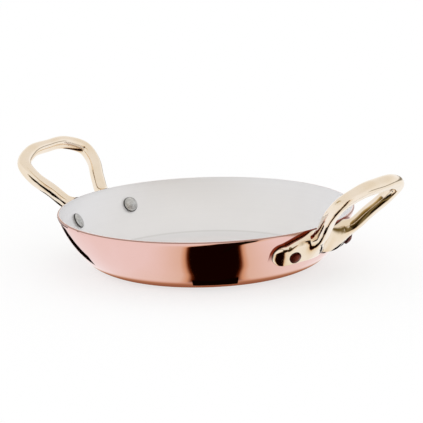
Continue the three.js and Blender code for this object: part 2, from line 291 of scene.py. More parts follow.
def turned(name, profile, steps):
    """A closed turned piece: one ring drawn out along its profile in mm, with both ends filled."""
    choose()
    radius, height = profile[0]
    bpy.ops.mesh.primitive_circle_add(
        vertices=steps, radius=radius * MM, location=(0, 0, height * MM))
    piece = named(name)
    bpy.ops.object.transform_apply(location=True)
    bpy.ops.object.mode_set(mode="EDIT")
    bpy.ops.mesh.select_all(action="SELECT")
    bpy.ops.mesh.edge_face_add()
    for next_radius, next_height in profile[1:]:
        rise = (0, 0, (next_height - height) * MM)
        scale = next_radius / radius
        bpy.ops.mesh.extrude_edges_move(TRANSFORM_OT_translate={"value": rise})
        bpy.ops.transform.resize(
            value=(scale, scale, 1), center_override=(0, 0, next_height * MM))
        radius, height = next_radius, next_height
    bpy.ops.mesh.edge_face_add()
    bpy.ops.mesh.select_all(action="SELECT")
    bpy.ops.mesh.normals_make_consistent(inside=False)
    bpy.ops.object.mode_set(mode="OBJECT")
    return piece


def rivet_frame(angle):
    """Place of a rivet: its own Z runs out of the wall, with the outer face at 0."""
    tilt = Matrix.Rotation(math.pi - rivet_slope, 4, "Y")
    foot = Matrix.Translation(Vector((rivet_ring, 0, rivet_height)) * MM)
    return Matrix.Rotation(angle, 4, "Z") @ foot @ tilt


RIVET_PLACES = {
    "right_front": -rivet_angle,
    "right_back": rivet_angle,
    "left_front": math.pi + rivet_angle,
    "left_back": math.pi - rivet_angle,
}


def rivet_drills(radius, start, end, places):
    drills = []
    for angle in places:
        choose()
        bpy.ops.mesh.primitive_cylinder_add(
            vertices=RIVET_STEPS, radius=radius * MM, depth=(end - start) * MM,
            location=(0, 0, (start + end) / 2 * MM))
        drill = named("drill")
        bpy.ops.object.transform_apply(location=True)
        place(drill, rivet_frame(angle))
        drills.append(drill)
    return drills


# Pan body and lining: two sheets turned together.

def sheet_profile(outer, inner):
    """Closed profile of a turned sheet, from the middle of its underside to the middle of its top."""
    thickness = outer - inner
    outer_rounding = RIM_OUTER_ROUNDING if thickness >= THIN_SHEET else THIN_ROUNDING_SHARE * thickness
    low = wall_curve(outer, PAN_HEIGHT - outer_rounding)
    high = wall_curve(inner, PAN_HEIGHT - RIM_INNER_ROUNDING)
    corners = ((low[-1], 0, 1, outer_rounding), (high[-1], 180, -1, RIM_INNER_ROUNDING))
    steps = range(1, RIM_STEPS + 1)
    rim = []
    for (side, height), start, sweep, rounding in corners:
        turn = [math.radians(start + sweep * 90 * i / RIM_STEPS) for i in steps]
        centre = side - sweep * rounding
        rim.append([(centre + rounding * math.cos(a), height + rounding * math.sin(a)) for a in turn])
    under = [(radius, -outer) for radius in FLAT_RINGS]
    over = [(radius, -inner) for radius in reversed(FLAT_RINGS)]
    return under + low + rim[0] + rim[1][::-1] + high[::-1] + over


def pan_sheet(name, outer, inner):
    sheet = turned(name, sheet_profile(outer, inner), PAN_STEPS)
    reach = SHEET_DRILL_REACH
    cut(sheet, *rivet_drills(HOLE_RADIUS, -reach, reach, RIVET_PLACES.values()))
    smooth_faces(sheet)
    return sheet


shell = pan_sheet("copper_body", 0.0, -COPPER_THICKNESS)
lining = pan_sheet("steel_lining_sheet", -(COPPER_THICKNESS + BOND_GAP), inner_face)


# Rivets and caps: each kind is turned once on its own axis and copied to its four places.

def paint_values(piece, name, values):
    """Keeps one number for each vertex, for the piece's material to read."""
    attribute = piece.data.attributes.new(name, "FLOAT", "POINT")
    attribute.data.foreach_set("value", values)


def paint_radius(piece, full):
    """Distance from the piece's own axis, 1 at the full radius."""
    paint_values(piece, "radius", [math.hypot(*v.co[:2]) / MM / full for v in piece.data.vertices])


def dome(radius, start, end, edge, steps=8):
    """Profile of a button head: a straight rim with a rounded edge, and a low crown."""
    crown = CROWN_SHARE * (end - start)
    points = [(radius, start)]
    for i in range(steps + 1):
        turn = math.pi / 2 * i / steps
        points.append((radius - edge * (1 - math.cos(turn)), end - crown - edge * (1 - math.sin(turn))))
    flat = radius - edge
    for share in CROWN_RINGS:
        points.append((flat * share, end - crown * share * share))
    return points


def copper_rivet():
    start = inner_face - CAP_SOCKET_DEPTH + 2 * SEAT_GAP
    seat = HEAD_SEAT + SEAT_GAP
    shank = [(INNERMOST_RING, start), (SHANK_RADIUS - SHANK_BEVEL, start),
             (SHANK_RADIUS, start + SHANK_BEVEL), (SHANK_RADIUS, seat)]
    head = dome(HEAD_RADIUS, seat, seat + HEAD_HEIGHT, HEAD_EDGE)
    rivet = turned("rivet", shank + head, RIVET_STEPS)
    paint_radius(rivet, HEAD_RADIUS)
    return rivet


def steel_cap():
    """The cap's socket takes the rivet's end, and its underside follows the lining that it sits on."""
    seat = -inner_face + SEAT_GAP
    socket = SHANK_RADIUS + SEAT_GAP
    socket_end = seat + CAP_SOCKET_DEPTH
    hollow = [(INNERMOST_RING, socket_end), (socket, socket_end), (socket, CAP_SKIRT_START)]
    button = dome(CAP_RADIUS, CAP_SKIRT_START, seat + CAP_HEIGHT, CAP_EDGE)
    cap = turned("cap", hollow + button, RIVET_STEPS)
    paint_radius(cap, CAP_RADIUS)
    place(cap, rivet_frame(0) @ Matrix.Rotation(math.pi, 4, "X"))
    wall = turned("wall", sheet_profile(CUTTER_MARGIN, inner_face - SEAT_GAP), PAN_STEPS)
    cut(cap, wall)
    return cap


rivet_master = copper_rivet()
place(rivet_master, rivet_frame(0))
cap_master = steel_cap()
rivets, caps = {}, {}
for where, angle in RIVET_PLACES.items():
    for kind, master, made in (("rivet", rivet_master, rivets), ("rivet_cap", cap_master, caps)):
        made[where] = copy_of(master, f"{kind}_{where}_piece")
        place(made[where], Matrix.Rotation(angle, 4, "Z"))
        smooth_faces(made[where])
remove(rivet_master, cap_master)


# Handle casting: a bent bar and a foot plate, run together with cast fillets.

loop_along = Vector((math.cos(LOOP_TILT), 0, math.sin(LOOP_TILT)))
loop_across = Vector((0, 1, 0))
loop_normal = loop_along.cross(loop_across)
neck = Vector((RIM_RADIUS + NECK_BEYOND_RIM, 0, PAN_HEIGHT - NECK_BELOW_RIM)) * MM
loop_turn = Matrix((loop_along, loop_across, loop_normal)).transposed().to_4x4()
loop_frame = Matrix.Translation(neck) @ loop_turn


def through(points, steps):
    """Evenly spaced points on a smooth curve through these points (a centripetal spline)."""
    ends = [2 * points[0] - points[1], *points, 2 * points[-1] - points[-2]]
    fine = []
    for p0, p1, p2, p3 in zip(ends, ends[1:], ends[2:], ends[3:]):
        d0, d1, d2 = ((b - a).length ** 0.5 for a, b in ((p0, p1), (p1, p2), (p2, p3)))
        leave = ((p1 - p0) / d0 - (p2 - p0) / (d0 + d1) + (p2 - p1) / d1) * d1
        reach = ((p2 - p1) / d1 - (p3 - p1) / (d1 + d2) + (p3 - p2) / d2) * d1
        for i in range(SPAN_STEPS):
            t = i / SPAN_STEPS
            fine.append(p1 + leave * t + (3 * (p2 - p1) - 2 * leave - reach) * t ** 2
                        + (2 * (p1 - p2) + leave + reach) * t ** 3)
    fine.append(points[-1])
    lengths = [0.0]
    for a, b in zip(fine, fine[1:]):
        lengths.append(lengths[-1] + (b - a).length)
    even, k = [], 0
    for i in range(steps + 1):
        goal = lengths[-1] * i / steps
        while k < len(fine) - 2 and lengths[k + 1] < goal:
            k += 1
        even.append(fine[k].lerp(fine[k + 1], (goal - lengths[k]) / (lengths[k + 1] - lengths[k])))
    return even


def bar_section():
    """Outline of the bar: a circle with its underside pressed flat."""
    choose()
    bpy.ops.mesh.primitive_circle_add(vertices=BAR_STEPS, radius=BAR_RADIUS * MM)
    section = named("bar_section")
    level = (BAR_FLAT_DEPTH - BAR_RADIUS) * MM
    bpy.ops.object.mode_set(mode="EDIT")
    bpy.ops.mesh.select_all(action="DESELECT")
    mesh = bmesh.from_edit_mesh(section.data)
    for vertex in mesh.verts:
        vertex.select_set(vertex.co.y < level)
    mesh.select_flush_mode()
    bpy.ops.transform.resize(value=(1, 0, 1), center_override=(0, level, 0))
    bpy.ops.mesh.select_all(action="SELECT")
    bpy.ops.mesh.vertices_smooth(factor=0.5, repeat=BAR_FLAT_PASSES)
    bpy.ops.object.mode_set(mode="OBJECT")
    bpy.ops.object.convert(target="CURVE")
    return bpy.context.object


def bent_bar(steps=BOW_STEPS):
    """The bar, drawn flat along the bow and then tilted up to its place."""
    root = loop_frame.inverted() @ on_wall(ROOT_HALF_WIDTH, 0, -BAR_RADIUS)
    half = [Vector((length, width, 0)) * MM for width, length in LOOP_HALF] + [root]
    mirrored = [Vector((p.x, -p.y, p.z)) for p in reversed(half)]
    crown = Vector((LOOP_CROWN[1], LOOP_CROWN[0], 0)) * MM
    path = through([*mirrored, crown, *half], steps)
    section = bar_section()
    choose()
    bpy.ops.curve.primitive_bezier_curve_add()
    bar = named("bent_bar")
    bar.data.splines.clear()
    bar.data.dimensions = "3D"
    bar.data.twist_mode = "Z_UP"
    bar.data.bevel_mode = "OBJECT"
    bar.data.bevel_object = section
    bar.data.use_fill_caps = True
    spline = bar.data.splines.new("POLY")
    spline.points.add(steps)
    swells = []
    for i, (point, at) in enumerate(zip(spline.points, path)):
        from_grip = abs(2 * i / steps - 1)
        swell = GRIP_SWELL * (1 - smoothstep(from_grip, 0, GRIP_SWELL_SHARE))
        flare = ROOT_FLARE * smoothstep(from_grip, 1 - ROOT_FLARE_SHARE, 1)
        point.co = (*at, 1)
        point.radius = 1 + swell + flare
        swells.append(1 + swell + flare)
    choose(bar)
    bpy.ops.object.convert(target="MESH")
    remove(section)
    count = len(bar.data.vertices) // (steps + 1)
    for i, at in enumerate(path):
        ahead = (path[min(i + 1, steps)] - path[max(i - 1, 0)]).normalized()
        outward = Vector((ahead.y, -ahead.x, 0))
        hollow = GRIP_HOLLOW * (1 - smoothstep(abs(2 * i / steps - 1), 0, GRIP_SWELL_SHARE))
        edge = BAR_RADIUS * swells[i] * MM
        for vertex in bar.data.vertices[i * count:(i + 1) * count]:
            vertex.co += outward * hollow * (edge - (vertex.co - at).dot(outward))
    place(bar, loop_frame)
    choose(bar)
    bpy.ops.object.mode_set(mode="EDIT")
    bpy.ops.mesh.select_all(action="SELECT")
    bpy.ops.mesh.remove_doubles(threshold=MERGE_DISTANCE)
    bpy.ops.mesh.normals_make_consistent(inside=False)
    bpy.ops.object.mode_set(mode="OBJECT")
    return bar


lobe_centre = rivet_ring * rivet_angle + LOBE_BEYOND_RIVET


def foot_outline(around):
    """Middle height and half height of the foot plate at this place round the wall."""
    share = min(abs(around) / lobe_centre, 1)
    past = max(abs(around) - lobe_centre, 0) / LOBE_RADIUS
    end = math.sqrt(max(1 - past * past, 0))
    top = end * lerp(FOOT_TOP_RISE, LOBE_TOP, share ** SHOULDER_POWER)
    bottom = -end * lerp(FOOT_BOTTOM_DROP, LOBE_RADIUS, share)
    return (top + bottom) / 2, (top - bottom) / 2


def foot_face(around, level):
    """Height of the foot's face: broad and full, with rounded edges and longer rounded tips."""
    fill = 1 - math.exp(-(around / FOOT_MIDDLE_REACH) ** 2)
    ridge = lerp(FOOT_MIDDLE_THICKNESS, FOOT_THICKNESS, fill)
    from_tip = (lobe_centre + LOBE_RADIUS - abs(around)) / LOBE_ROUNDING
    tip = (1 - (1 - min(max(from_tip, 0), 1)) ** LOBE_POWER) ** LOBE_FULLNESS
    share = abs(level - FOOT_RIDGE) / (1 - FOOT_RIDGE if level > FOOT_RIDGE else 1 + FOOT_RIDGE)
    return ridge * tip * max(1 - share ** FACE_EDGE_POWER, 0) ** FACE_EDGE_FULLNESS


def foot_plate():
    """A ball pressed out into the foot's outline and laid on the curved wall."""
    choose()
    bpy.ops.mesh.primitive_uv_sphere_add(segments=FOOT_STEPS, ring_count=FOOT_STEPS // 2, radius=1)
    foot = named("foot_plate")
    for vertex in foot.data.vertices:
        x, y, z = vertex.co
        around = x * (lobe_centre + LOBE_RADIUS)
        middle, half = foot_outline(around)
        belt = math.sqrt(max(1 - x * x, 1e-9))
        level, rise = (min(max(part / belt, -1), 1) for part in (y, z))
        out = foot_face(around, level) if rise > 0 else FOOT_SUNK * rise
        vertex.co = on_wall(around, middle + half * level, out)
    return foot


def notch_cutter():
    """The wedge that parts the two lobes under the middle of the foot."""
    choose()
    bpy.ops.mesh.primitive_cylinder_add(
        vertices=3, radius=NOTCH_WIDTH * MM, depth=4 * FOOT_THICKNESS * MM)
    wedge = named("notch")
    low = on_wall(0, -FOOT_BOTTOM_DROP, 0)
    tip = on_wall(0, -FOOT_BOTTOM_DROP + NOTCH_DEPTH, 0)
    out = (on_wall(0, -FOOT_BOTTOM_DROP, 1) - low).normalized()
    across = Vector((0, 1, 0))
    frame_at = Matrix((across, out.cross(across), out)).transposed().to_4x4()
    stretch = Matrix.Diagonal((NOTCH_SLIMNESS, 1, 1, 1))
    apex = Matrix.Translation(Vector((0, -NOTCH_WIDTH * MM, 0)))
    place(wedge, Matrix.Translation(tip) @ frame_at @ stretch @ apex)
    return wedge


def distances(piece, points):
    mesh = bmesh.new()
    mesh.from_mesh(piece.data)
    tree = BVHTree.FromBMesh(mesh)
    mesh.free()
    return [tree.find_nearest(p)[3] for p in points]


def wall_distance(point):
    """Distance in mm of a point from the wall's outer face."""
    across = math.hypot(point.x, point.y)
    centre = BASE_RADIUS - extra_radius * math.sin(join_slope)
    return math.hypot(across - centre, point.z - wall_centre_z) - wall_radius


def weight(piece, name, values):
    group = piece.vertex_groups.new(name=name)
    for i, value in enumerate(values):
        group.add([i], value, "REPLACE")


def handle_casting(name):
    bar = bent_bar()
    foot = foot_plate()
    cut(foot, notch_cutter())
    pattern = copy_of(bar, "pattern")
    second = copy_of(foot, "pattern_foot")
    choose(second, pattern)
    bpy.ops.object.join()
    casting = copy_of(pattern, name)
    apply_modifier(casting, "REMESH", mode="VOXEL", voxel_size=CAST_VOXEL * MM)
    points = [v.co.copy() for v in casting.data.vertices]
    far = [max(pair) / MM for pair in zip(distances(bar, points), distances(foot, points))]
    weight(casting, "crease", [1 - smoothstep(d, CREASE_FULL, CREASE_END) for d in far])
    weight(casting, "fillet", [max(1 - d / FILLET_REACH, 0) ** 2 for d in far])
    weight(casting, "plain", [smoothstep(d, PLAIN_START, FILLET_REACH) for d in far])
    apply_modifier(casting, "SMOOTH", factor=0.5, iterations=CREASE_PASSES, vertex_group="crease")
    apply_modifier(casting, "DISPLACE", strength=FILLET_FILL * MM, mid_level=0, vertex_group="fillet")
    apply_modifier(casting, "SMOOTH", factor=0.5, iterations=FILLET_PASSES, vertex_group="crease")
    apply_modifier(casting, "SMOOTH", factor=0.5, iterations=EVEN_PASSES)
    apply_modifier(casting, "SHRINKWRAP", target=pattern, wrap_method="NEAREST_SURFACEPOINT",
                   vertex_group="plain")
    apply_modifier(casting, "SMOOTH", factor=0.5, iterations=LAST_PASSES)
    remove(bar, foot, pattern)
    seat_base = [(radius, -SEAT_GAP) for radius in FLAT_RINGS]
    seat_profile = seat_base + wall_curve(SEAT_GAP) + [(SEAT_CUTTER_INSIDE, PAN_HEIGHT)]
    seat = turned("seat", seat_profile, PAN_STEPS)
    places = (-rivet_angle, rivet_angle)
    cut(casting, seat, *rivet_drills(HOLE_RADIUS, -SHEET_DRILL_REACH, FOOT_DRILL_REACH, places),
        *rivet_drills(HEAD_RADIUS + HEAD_PLAY, HEAD_SEAT, HEAD_DRILL_REACH, places))
    smooth_faces(casting, degrees=40)
    # Painted shade: brass near the wall is marked here to be drawn dark.
    clear = [wall_distance(vertex.co / MM) for vertex in casting.data.vertices]
    paint_values(casting, "seam_shade", [1 - smoothstep(d, SEAM_SHADE_FULL, SEAM_SHADE_END) for d in clear])
    return casting


handle_right = handle_casting("handle_right_casting")
handle_left = copy_of(handle_right, "handle_left_casting")
place(handle_left, Matrix.Rotation(math.pi, 4, "Z"))


# Materials.

SOFT_STEP = {"interpolation_type": "SMOOTHSTEP"}
# Most values of a noise lie between these.
NOISE_LOW, NOISE_HIGH = 0.3, 0.7


def linear(code):
    """Linear colour of an sRGB hex value."""
    parts = [int(code[i:i + 2], 16) / 255 for i in (1, 3, 5)]
    return (*(c / 12.92 if c <= 0.04045 else ((c + 0.055) / 1.055) ** 2.4 for c in parts), 1)


def add(tree, kind, links=None, values=None, **settings):
    """Adds a node with its settings, its input values and its links from (node, output) pairs."""
    node = tree.nodes.new(kind)
    for key, value in settings.items():
        setattr(node, key, value)
    for socket, value in (values or {}).items():
        node.inputs[socket].default_value = value
    for socket, (source, output) in (links or {}).items():
        tree.links.new(source.outputs[output], node.inputs[socket])
    return node


def ramp_stops(ramp, stops, low, high):
    """Sets a colour ramp's stops from (value, hex) pairs over a range of values."""
    while len(ramp.elements) > 1:
        ramp.elements.remove(ramp.elements[-1])
    for i, (value, code) in enumerate(stops):
        place_at = (value - low) / (high - low)
        stop = ramp.elements[0] if i == 0 else ramp.elements.new(place_at)
        stop.position = place_at
        stop.color = linear(code)


def curve_points(mapping, spots, low, high):
    """Lays a curve through (value, result) spots, as shares of their own range and of the results' range."""
    first, last = spots[0][0], spots[-1][0]
    places = [((at - first) / (last - first), (result - low) / (high - low)) for at, result in spots]
    points = mapping.curves[0].points
    points[0].location, points[1].location = places[0], places[-1]
    for spot in places[1:-1]:
        points.new(*spot)
    mapping.update()


def metal(name, tones, roughness, tone_mm, grain_mm, relief_mm, turned_lines=False):
    """A metal with soft tone changes, and a finer grain that varies its roughness and relief."""
    material = bpy.data.materials.new(name)
    material.use_nodes = True
    tree = material.node_tree
    tree.nodes.clear()
    coords = add(tree, "ShaderNodeTexCoord")
    grain_at = (coords, "Object")
    if turned_lines:
        flat = add(tree, "ShaderNodeVectorMath", {0: grain_at}, {1: (1, 1, 0)}, operation="MULTIPLY")
        radius = add(tree, "ShaderNodeVectorMath", {0: (flat, 0)}, operation="LENGTH")
        axes = add(tree, "ShaderNodeSeparateXYZ", {0: grain_at})
        grain_at = (add(tree, "ShaderNodeCombineXYZ", {"X": (radius, "Value"), "Y": (axes, "Z")}), 0)
    tone = add(tree, "ShaderNodeTexNoise", {"Vector": (coords, "Object")},
               {"Scale": 1 / (tone_mm * MM), "Detail": 3.0, "Roughness": 0.5})
    colour = add(tree, "ShaderNodeValToRGB", {"Fac": (tone, 0)})
    ramp_stops(colour.color_ramp, [(NOISE_LOW, tones[0]), (NOISE_HIGH, tones[1])], 0, 1)
    grain = add(tree, "ShaderNodeTexNoise", {"Vector": grain_at},
                {"Scale": 1 / (grain_mm * MM), "Detail": 4.0, "Roughness": 0.6})
    polish = add(tree, "ShaderNodeMapRange", {"Value": (grain, 0)},
                 {"From Min": NOISE_LOW, "From Max": NOISE_HIGH,
                  "To Min": roughness[0], "To Max": roughness[1]})
    relief = add(tree, "ShaderNodeBump", {"Height": (grain, 0)},
                 {"Strength": 1.0, "Distance": relief_mm * MM})
    shader = add(tree, "ShaderNodeBsdfPrincipled",
                 {"Base Color": (colour, 0), "Roughness": (polish, 0), "Normal": (relief, 0)},
                 {"Metallic": 1.0})
    add(tree, "ShaderNodeOutputMaterial", {"Surface": (shader, "BSDF")})
    return material


def shaded(material, mask, colour, roughness):
    """Changes a metal's colour and roughness where a mask, as a (node, output) pair, is 1."""
    tree = material.node_tree
    shader = tree.nodes["Principled BSDF"]
    for socket, kind, target in (("Base Color", "RGBA", linear(colour)), ("Roughness", "FLOAT", roughness)):
        source = shader.inputs[socket].links[0].from_socket
        plain, other, result = (6, 7, 2) if kind == "RGBA" else (2, 3, 0)
        mix = add(tree, "ShaderNodeMix", {"Factor": mask}, {other: target}, data_type=kind)
        tree.links.new(source, mix.inputs[plain])
        tree.links.new(mix.outputs[result], shader.inputs[socket])


# Spun copper sheet, buffed: a pink mirror with warmer cloudy patches and faint rings from spinning.
# The rings are drawn coarser than tool marks are, so that they show.
copper = metal("spun_copper_polished", ("#EBC5C0", "#E8BFB6"), (0.03, 0.06),
               tone_mm=45, grain_mm=0.9, relief_mm=0.002, turned_lines=True)
tree = copper.node_tree
coords = add(tree, "ShaderNodeTexCoord")
axes = add(tree, "ShaderNodeSeparateXYZ", {0: (coords, "Object")})
# The copper's top edge, just under the rim, is drawn dull and brown.
band_ends = [add(tree, "ShaderNodeMapRange", {"Value": (axes, "Z")},
                 {"From Min": start * MM, "From Max": full * MM}, **SOFT_STEP)
             for start, full in RIM_DULL_BAND]
rim_edge = add(tree, "ShaderNodeMath", {0: (band_ends[0], 0), 1: (band_ends[1], 0)}, operation="MULTIPLY")
shaded(copper, (rim_edge, 0), "#A88478", roughness=0.3)
# A dark brown band is painted on the copper close above the handle feet: painted shade and reflection of the
# feet.
side = add(tree, "ShaderNodeMath", {0: (axes, "X")}, operation="ABSOLUTE")
turn = add(tree, "ShaderNodeMath", {0: (axes, "Y"), 1: (side, 0)}, operation="ARCTAN2")
turn = add(tree, "ShaderNodeMath", {0: (turn, 0)}, operation="ABSOLUTE")
tip_reach = lobe_centre + LOBE_RADIUS
halo_reach = tip_reach + HALO_AT_TIP
halo_spots = []
for i in range(HALO_STEPS + 1):
    around = halo_reach * i / HALO_STEPS
    middle, half = foot_outline(around * tip_reach / halo_reach)
    above = lerp(HALO_AT_ROOT, HALO_AT_TIP, smoothstep(around, 0.5 * tip_reach, tip_reach))
    halo_spots.append((around / rivet_ring, on_wall(around, middle + half + above, 0).z))
halo_spots.append((halo_spots[-1][0] + HALO_DROP_TURN, (rivet_height - HALO_DROP) * MM))
halo_spots.append((HALO_LAST_TURN, 0.0))
share = add(tree, "ShaderNodeMapRange", {"Value": (turn, 0)},
            {"From Min": halo_spots[0][0], "From Max": halo_spots[-1][0]})
curve = add(tree, "ShaderNodeFloatCurve", {"Value": (share, 0)})
curve_points(curve.mapping, halo_spots, 0.0, HALO_CEILING * MM)
top = add(tree, "ShaderNodeMapRange", {"Value": (curve, 0)}, {"To Min": 0.0, "To Max": HALO_CEILING * MM})
over = add(tree, "ShaderNodeMath", {0: (axes, "Z"), 1: (top, 0)}, operation="SUBTRACT")
under_top = add(tree, "ShaderNodeMapRange", {"Value": (over, 0)},
                {"From Min": HALO_SOFTNESS * MM, "From Max": -HALO_SOFTNESS * MM}, **SOFT_STEP)
fade_start, fade_end = ((rivet_height + part) * MM for part in HALO_FADE)
over_rivet = add(tree, "ShaderNodeMapRange", {"Value": (axes, "Z")},
                 {"From Min": fade_start, "From Max": fade_end}, **SOFT_STEP)
# Painted shade and reflection above the handle feet.
foot_shade_band = add(tree, "ShaderNodeMath", {0: (under_top, 0), 1: (over_rivet, 0)}, operation="MULTIPLY")
shaded(copper, (foot_shade_band, 0), "#803018", roughness=0.25)

# Stainless steel, satin finished on the lathe: an even pale grey with fine rings and no clear images.
# The rings are drawn coarser than tool marks are, so that they show.
satin_steel = metal("satin_stainless_steel", ("#F0F0F2", "#EDEDEF"), (0.45, 0.58),
                    tone_mm=60, grain_mm=0.8, relief_mm=0.006, turned_lines=True)
tree = satin_steel.node_tree
coords = add(tree, "ShaderNodeTexCoord")
flat = add(tree, "ShaderNodeVectorMath", {0: (coords, "Object")}, {1: (1, 1, 0)}, operation="MULTIPLY")
radius = add(tree, "ShaderNodeVectorMath", {0: (flat, 0)}, operation="LENGTH")
from_line = add(tree, "ShaderNodeMath", {0: (radius, "Value")}, {1: FLOOR_LINE_RADIUS * MM}, operation="SUBTRACT")
from_line = add(tree, "ShaderNodeMath", {0: (from_line, 0)}, operation="ABSOLUTE")
# The floor is drawn a little darker inside the line's radius and paler again further in: painted shade and
# light that even out the shading across the floor. A darker line is drawn at that radius.
for value, start, full, colour in (
        ((radius, "Value"), FLOOR_LINE_RADIUS + FLOOR_TONE_STEP, FLOOR_LINE_RADIUS - FLOOR_TONE_STEP, "#EBEBED"),
        ((radius, "Value"), FLOOR_LINE_RADIUS - FLOOR_PALER_START, BASE_RADIUS, "#F2F0F1"),
        ((from_line, 0), *FLOOR_LINE_REACH, "#E3E3E4")):
    zone = add(tree, "ShaderNodeMapRange", {"Value": value},
               {"From Min": start * MM, "From Max": full * MM}, **SOFT_STEP)
    shaded(satin_steel, (zone, 0), colour, roughness=0.55)

# Cast brass, polished: a cream mirror whose soft casting waves bend the edges of what it shows.
brass = metal("cast_brass_polished", ("#F5E9DB", "#ECDBC2"), (0.06, 0.12),
              tone_mm=22, grain_mm=6.0, relief_mm=0.05)
# Painted shade: the brass is drawn dark close to the wall, where the foot meets it.
seam_shade = add(brass.node_tree, "ShaderNodeAttribute", attribute_name="seam_shade")
shaded(brass, (seam_shade, "Fac"), "#2A1508", roughness=0.5)

# Copper rivet heads, left as set: browned by heat, with painted shade darker round the edge, and a hammered,
# blotchy face.
rivet_copper = metal("oxidised_copper", ("#7A3A2C", "#55231A"), (0.3, 0.5),
                     tone_mm=2.5, grain_mm=1.2, relief_mm=0.12)

# Pressed stainless steel caps: a darker grey button with pressing marks, and painted shade round its edge.
cap_steel = metal("pressed_stainless_steel", ("#D2D2D1", "#A4A4A3"), (0.2, 0.4),
                  tone_mm=2.2, grain_mm=1.1, relief_mm=0.12)

# Painted shade: dark edges of heads and caps, by share of their radius.
for material, start, full, colour in (
        (rivet_copper, 0.5, 0.95, "#401008"),
        (cap_steel, 0.88, 0.97, "#333332")):
    tree = material.node_tree
    ring = add(tree, "ShaderNodeAttribute", attribute_name="radius")
    edge = add(tree, "ShaderNodeMapRange", {"Value": (ring, "Fac")},
               {"From Min": start, "From Max": full}, **SOFT_STEP)
    shaded(material, (edge, 0), colour, roughness=0.45)


def finish_piece(piece, node, material):
    piece.data.materials.clear()
    piece.data.materials.append(material)
    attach(piece, "root")
    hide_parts(node)


finish_piece(shell, "pan_shell", copper)
finish_piece(lining, "steel_lining", satin_steel)
finish_piece(handle_right, "handle_right", brass)
finish_piece(handle_left, "handle_left", brass)
for where in RIVET_PLACES:
    finish_piece(rivets[where], f"rivet_{where}", rivet_copper)
    finish_piece(caps[where], f"rivet_cap_{where}", cap_steel)


# Studio: pale floor, even white light and the camera of the photograph.

FLOOR_SIZE = 8
FLOOR_COLOUR = "#959595"
FLOOR_GLOW = 0.7


def bare_paint(name):
    """A material with no nodes yet."""
    paint = bpy.data.materials.new(name)
    paint.use_nodes = True
    paint.node_tree.nodes.clear()
    return paint


choose()
bpy.ops.mesh.primitive_plane_add(size=FLOOR_SIZE)
floor = named("floor")
floor_paint = bare_paint("white_paper_floor")
tree = floor_paint.node_tree
path = add(tree, "ShaderNodeLightPath")
seen = add(tree, "ShaderNodeMath", {0: (path, "Is Camera Ray"), 1: (path, "Is Glossy Ray")}, operation="ADD")
seen = add(tree, "ShaderNodeMath", {0: (seen, 0), 1: (path, "Is Transmission Ray")}, operation="ADD")
glow_share = add(tree, "ShaderNodeMath", {0: (seen, 0)}, {1: FLOOR_GLOW}, operation="MULTIPLY")
paper = add(tree, "ShaderNodeBsdfDiffuse", values={"Color": linear(FLOOR_COLOUR)})
glow = add(tree, "ShaderNodeEmission", {"Strength": (glow_share, 0)})
both = add(tree, "ShaderNodeAddShader", {0: (paper, 0), 1: (glow, 0)})
add(tree, "ShaderNodeOutputMaterial", {"Surface": (both, 0)})
floor.data.materials.append(floor_paint)
floor.visible_glossy = False

# Viewing angle of the photograph, with lengths in mm.
VIEW_AZIMUTH = math.radians(36.74)
VIEW_ELEVATION = math.radians(12.849)
VIEW_ROLL = math.radians(-1.782)
VIEW_LENS = 202.97
VIEW_SENSOR = 36
VIEW_CLIP_METRES = 50
VIEW_DISTANCE = 1600
AIM_HEIGHT = 37.9
AIM_RIGHT = 3.927
AIM_DOWN = 2.39

towards = Vector((math.sin(VIEW_AZIMUTH), -math.cos(VIEW_AZIMUTH), 0))
aside = Vector((math.cos(VIEW_AZIMUTH), math.sin(VIEW_AZIMUTH), 0))
back = Vector((math.sin(VIEW_AZIMUTH) * math.cos(VIEW_ELEVATION),
               -math.cos(VIEW_AZIMUTH) * math.cos(VIEW_ELEVATION), math.sin(VIEW_ELEVATION)))
roll = Matrix.Rotation(VIEW_ROLL, 3, back)
right = roll @ aside
up = roll @ back.cross(aside)
aim = Vector((0, 0, AIM_HEIGHT)) + AIM_RIGHT * right - AIM_DOWN * up

# White tent with a dark gap: it runs from behind the pan, under it and up past the camera.

# Angles in degrees: place along the gap (0 straight down, 90 level towards the camera), middle, half width.
GAP = [
    (-180, 0, -20), (-60, 0.5, -20), (-45, 1, 3), (-33, 1.7, 5.7), (-24, 2, 7), (-13, 2.5, 8.5),
    (-3, 3.4, 10.2), (3, 3.7, 11.7), (13, 3.8, 13.5), (25, 3.9, 14.9), (34, 4.4, 15.6), (43, 6.5, 17),
    (50, 13, 19), (61, 20.5, 14.5), (76, 27, 12), (90, 31, 9), (99, 34, 8), (108, 36, 6), (117, 36, -3),
    (128, 30, -20), (180, 0, -20),
]
GAP_LIMIT = math.pi / 3
# Colours along the gap, by the same angle.
GAP_COLOURS = [(-75, "#080300"), (-10, "#140300"), (60, "#120200"), (90, "#161000")]
# Colours from inside the gap's edge outwards, by degrees from the edge.
EDGE_COLOURS = [(-1.5, "#1A0600"), (0, "#6A3214"), (1.5, "#E0B890"), (4, "#F1E4D0"), (12, "#F9F3EA"),
                (22, "#FFFFFF")]
EDGE_LOW, EDGE_HIGH = -2.0, 40.0
# Warmer cloth overhead, which the tops of the brass bars show.
SKY_COLOUR = "#F4F1EC"
SKY_DEPTHS = (-0.25, -0.6)
# Grey line where the floor meets the tent behind the pan on the right, as parts of a direction.
HORIZON_COLOUR = "#90887A"
HORIZON_LEVELS = (0.11, 0.02)
HORIZON_TOWARDS = (0.15, -0.15)
HORIZON_ASIDE = (0.12, 0.35)

